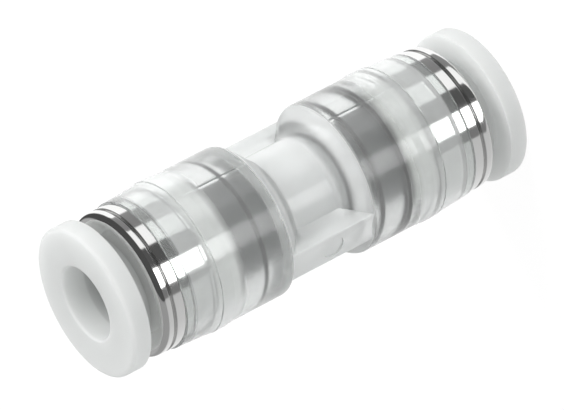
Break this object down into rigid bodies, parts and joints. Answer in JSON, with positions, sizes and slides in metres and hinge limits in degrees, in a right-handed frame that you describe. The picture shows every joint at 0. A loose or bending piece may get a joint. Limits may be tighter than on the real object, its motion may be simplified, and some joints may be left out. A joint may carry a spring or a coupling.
{
  "type": "push-in fitting",
  "caption": "Straight push-in union for plastic tube: clear ribbed housing, steel clamp sleeves and a pressable release ring at each end.",
  "frame": {"origin": "middle of the lower release ring's outer face, on which the fitting stands", "axes": "+Z along the tube axis towards the upper release ring, +Y along the two ribs of the waist"},
  "size_m": [0.0172, 0.0172, 0.051],
  "materials": {
    "clear_plastic": "clear, slightly milky",
    "ring_plastic": "translucent white, satin",
    "polished_steel": "turned and polished",
    "spring_steel": "bright spring strip",
    "inner_plastic": "natural, satin",
    "seal_rubber": "matt moulded rubber",
    "dark_plastic": "satin"
  },
  "bodies": {
    "fitting_body": {"housing": "clear_plastic", "upper_clamp_sleeve": "polished_steel", "upper_guide_bush": "inner_plastic", "upper_retaining_claw": "spring_steel", "upper_claw_seat": "inner_plastic", "upper_seal": "seal_rubber", "upper_backing_ring": "dark_plastic", "lower_clamp_sleeve": "polished_steel", "lower_guide_bush": "inner_plastic", "lower_retaining_claw": "spring_steel", "lower_claw_seat": "inner_plastic", "lower_seal": "seal_rubber", "lower_backing_ring": "dark_plastic"},
    "upper_ring": {"upper_release_ring": "ring_plastic"},
    "lower_ring": {"lower_release_ring": "ring_plastic"}
  },
  "joints": [
    {"name": "upper_ring_press", "type": "slide", "parent": "fitting_body", "child": "upper_ring", "axis": [0, 0, -1], "range_m": [0, 0.00175], "stiffness_N_per_m": 400, "springref_m": -0.003, "deforming": ["upper_retaining_claw"]},
    {"name": "lower_ring_press", "type": "slide", "parent": "fitting_body", "child": "lower_ring", "axis": [0, 0, 1], "range_m": [0, 0.00175], "stiffness_N_per_m": 400, "springref_m": -0.003, "deforming": ["lower_retaining_claw"]}
  ]
}
